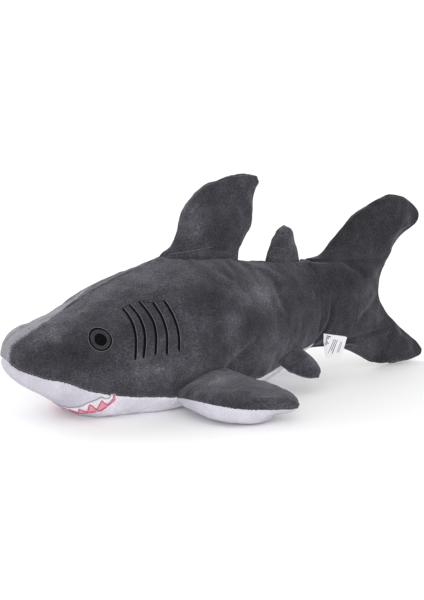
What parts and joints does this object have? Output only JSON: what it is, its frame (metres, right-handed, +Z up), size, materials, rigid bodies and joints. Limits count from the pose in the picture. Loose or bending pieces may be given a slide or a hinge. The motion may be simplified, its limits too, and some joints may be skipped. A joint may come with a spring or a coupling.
{
  "type": "plush shark",
  "caption": "Soft stuffed shark with a charcoal back, white belly, embroidered eyes, gills and toothed mouth, and sewn-on fins and tail that flex.",
  "frame": {"origin": "on the ground under the middle of the shark's length and width, where its belly rests", "axes": "+X from the nose to the tail, -Y towards the shark's own left side, +Z up"},
  "size_m": [0.496, 0.2758, 0.224],
  "materials": {
    "grey_plush": "short-pile velour, charcoal grey",
    "white_plush": "short-pile velour, white",
    "polyester_fill": "loose fibre filling",
    "black_thread": "satin-stitch embroidery thread, black",
    "grey_thread": "embroidery thread, mid grey",
    "white_thread": "satin-stitch embroidery thread, white",
    "pink_thread": "satin-stitch embroidery thread, pink",
    "satin_label": "woven satin ribbon, white"
  },
  "bodies": {
    "body": {"back_panel_right": "grey_plush", "back_panel_left": "grey_plush", "belly_panel": "white_plush", "body_stuffing": "polyester_fill", "eye_ring_right": "black_thread", "eye_pupil_right": "black_thread", "gill_stitch_1_right": "black_thread", "gill_stitch_2_right": "black_thread", "gill_stitch_3_right": "black_thread", "gill_stitch_4_right": "black_thread", "gill_stitch_5_right": "black_thread", "eye_ring_left": "black_thread", "eye_pupil_left": "black_thread", "gill_stitch_1_left": "black_thread", "gill_stitch_2_left": "black_thread", "gill_stitch_3_left": "black_thread", "gill_stitch_4_left": "black_thread", "gill_stitch_5_left": "black_thread", "upper_lip_stitch": "grey_thread", "teeth_stitch": "white_thread", "gum_stitch": "pink_thread"},
    "dorsal_fin": {"dorsal_fin_left_panel": "grey_plush", "dorsal_fin_right_panel": "grey_plush", "dorsal_fin_stuffing": "polyester_fill"},
    "rear_dorsal_fin": {"rear_dorsal_fin_left_panel": "grey_plush", "rear_dorsal_fin_right_panel": "grey_plush", "rear_dorsal_fin_stuffing": "polyester_fill"},
    "tail": {"tail_right_panel": "grey_plush", "tail_left_panel": "grey_plush", "tail_stuffing": "polyester_fill"},
    "care_label": {"care_label_back_leaf": "satin_label", "care_label_front_leaf": "satin_label"},
    "pectoral_fin_left": {"pectoral_fin_top_panel_left": "grey_plush", "pectoral_fin_under_panel_left": "white_plush", "pectoral_fin_stuffing_left": "polyester_fill"},
    "pelvic_fin_left": {"pelvic_fin_top_panel_left": "grey_plush", "pelvic_fin_under_panel_left": "grey_plush", "pelvic_fin_stuffing_left": "polyester_fill"},
    "pectoral_fin_right": {"pectoral_fin_top_panel_right": "grey_plush", "pectoral_fin_under_panel_right": "white_plush", "pectoral_fin_stuffing_right": "polyester_fill"},
    "pelvic_fin_right": {"pelvic_fin_top_panel_right": "grey_plush", "pelvic_fin_under_panel_right": "grey_plush", "pelvic_fin_stuffing_right": "polyester_fill"}
  },
  "joints": [
    {"name": "tail_swing", "type": "hinge", "parent": "body", "child": "tail", "pos_m": [0.092, 0, 0.082], "axis": [0, 0, 1], "range_deg": [-22, 22], "stiffness_Nm_per_rad": 0.2},
    {"name": "dorsal_fin_lean", "type": "hinge", "parent": "body", "child": "dorsal_fin", "pos_m": [-0.078, 0, 0.1497], "axis": [0.9964, 0, -0.0851], "range_deg": [-30, 30], "stiffness_Nm_per_rad": 0.12},
    {"name": "rear_dorsal_fin_lean", "type": "hinge", "parent": "body", "child": "rear_dorsal_fin", "pos_m": [0.039, 0, 0.136], "axis": [0.9989, 0, -0.0476], "range_deg": [-30, 30], "stiffness_Nm_per_rad": 0.03},
    {"name": "pectoral_fin_left_flap", "type": "hinge", "parent": "body", "child": "pectoral_fin_left", "pos_m": [-0.086, -0.062, 0.016], "axis": [-0.8906, 0.0928, -0.4453], "range_deg": [-10, 35], "stiffness_Nm_per_rad": 0.15},
    {"name": "pelvic_fin_left_flap", "type": "hinge", "parent": "body", "child": "pelvic_fin_left", "pos_m": [0.036, -0.041, 0.028], "axis": [-0.8967, -0.0928, -0.4329], "range_deg": [-25, 30], "stiffness_Nm_per_rad": 0.03},
    {"name": "pectoral_fin_right_flap", "type": "hinge", "parent": "body", "child": "pectoral_fin_right", "pos_m": [-0.086, 0.062, 0.016], "axis": [0.8906, 0.0928, 0.4453], "range_deg": [-10, 35], "stiffness_Nm_per_rad": 0.15},
    {"name": "pelvic_fin_right_flap", "type": "hinge", "parent": "body", "child": "pelvic_fin_right", "pos_m": [0.036, 0.041, 0.028], "axis": [0.8967, -0.0928, 0.4329], "range_deg": [-25, 30], "stiffness_Nm_per_rad": 0.03},
    {"name": "care_label_flap", "type": "hinge", "parent": "tail", "child": "care_label", "pos_m": [0.099, -0.022, 0.047], "axis": [-0.1961, 0, -0.9806], "range_deg": [0, 45], "stiffness_Nm_per_rad": 0.002}
  ]
}
